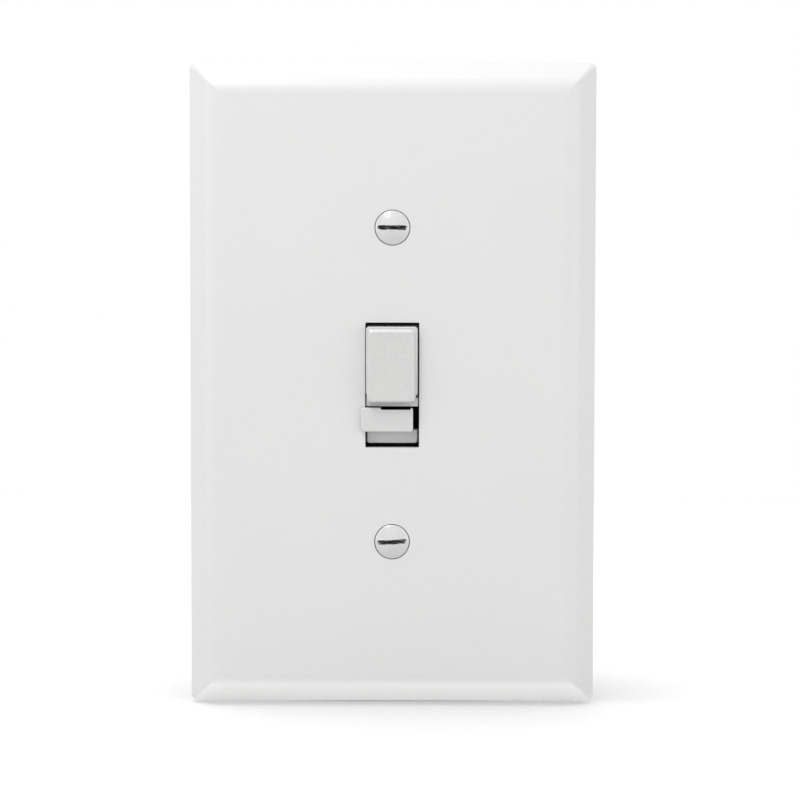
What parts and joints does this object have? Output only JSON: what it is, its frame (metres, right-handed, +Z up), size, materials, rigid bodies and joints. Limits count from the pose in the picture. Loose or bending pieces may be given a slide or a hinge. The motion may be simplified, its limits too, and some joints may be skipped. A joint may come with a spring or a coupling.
{
  "type": "wall plate cover",
  "caption": "White bevelled wall plate over a push-button wall control: button and slide tab in the toggle opening, strap, housing and circuit behind.",
  "frame": {"origin": "on the wall plane, behind the centre of the plate's toggle opening", "axes": "+X to the right as seen from the room, +Y into the wall, +Z up along the plate's long side"},
  "size_m": [0.0782, 0.0392, 0.1236],
  "materials": {
    "plate_white": "smooth satin-gloss moulding",
    "control_white": "fine matte texture",
    "tab_white": "smooth satin moulding",
    "painted_screw": "white enamel, slot worn to metal",
    "strap_black": "black finish on a steel heat-sink strap",
    "zinc_steel": "zinc plated",
    "spring_steel": "bright spring wire",
    "brass": "plain brass",
    "nickel": "nickel plated",
    "earth_green": "green dyed plating",
    "fibre": "vulcanised fibre",
    "housing_black": "moulded thermoset",
    "board": "laminate with solder mask",
    "ferrite": "coated core",
    "copper": "enamelled copper",
    "film_yellow": "potted case",
    "can_black": "sleeved can",
    "varistor_blue": "dipped epoxy",
    "ceramic": "ceramic tube",
    "resistor_tan": "coated body",
    "package_black": "moulded epoxy package",
    "thermal_grey": "silicone pad",
    "inner_plastic": "natural nylon"
  },
  "bodies": {
    "control": {"wall_plate": "plate_white", "plate_screw_upper": "painted_screw", "plate_screw_lower": "painted_screw", "mounting_strap": "strap_black", "box_screw_upper": "zinc_steel", "box_screw_lower": "zinc_steel", "box_screw_washer_upper": "fibre", "box_screw_washer_lower": "fibre", "earth_screw": "earth_green", "front_cover": "housing_black", "nose_bezel": "control_white", "button_spring": "spring_steel", "tact_switch_body": "nickel", "cutoff_contact_line": "brass", "cutoff_contact_load": "brass", "rear_housing": "housing_black", "housing_screw_1": "zinc_steel", "housing_screw_2": "zinc_steel", "housing_screw_3": "zinc_steel", "housing_screw_4": "zinc_steel", "line_terminal": "brass", "line_terminal_screw": "brass", "load_terminal": "brass", "load_terminal_screw": "nickel", "triac": "package_black", "thermal_pad": "thermal_grey", "triac_rivet": "zinc_steel", "circuit_board": "board", "choke_core": "ferrite", "choke_winding": "copper", "film_capacitor": "film_yellow", "electrolytic_capacitor": "can_black", "varistor": "varistor_blue", "fuse": "ceramic", "control_chip": "package_black", "resistor_1": "resistor_tan", "resistor_2": "resistor_tan"},
    "button": {"push_button": "control_white"},
    "plunger": {"tact_switch_plunger": "package_black"},
    "slide": {"slide_tab": "tab_white", "slide_carrier": "inner_plastic", "contact_bridge": "brass"}
  },
  "joints": [
    {"name": "button_press", "type": "slide", "parent": "control", "child": "button", "axis": [0, 1, 0], "range_m": [0, 0.0008], "stiffness_N_per_m": 500, "springref_m": -0.002, "deforming": ["button_spring"]},
    {"name": "plunger_press", "type": "slide", "parent": "control", "child": "plunger", "axis": [0, 1, 0], "range_m": [0, 0.00025]},
    {"name": "tab_slide", "type": "slide", "parent": "control", "child": "slide", "axis": [1, 0, 0], "range_m": [0, 0.002]}
  ],
  "couplings": [
    {"joint": "plunger_press", "follows": "button_press", "ratio": 0.3125}
  ]
}
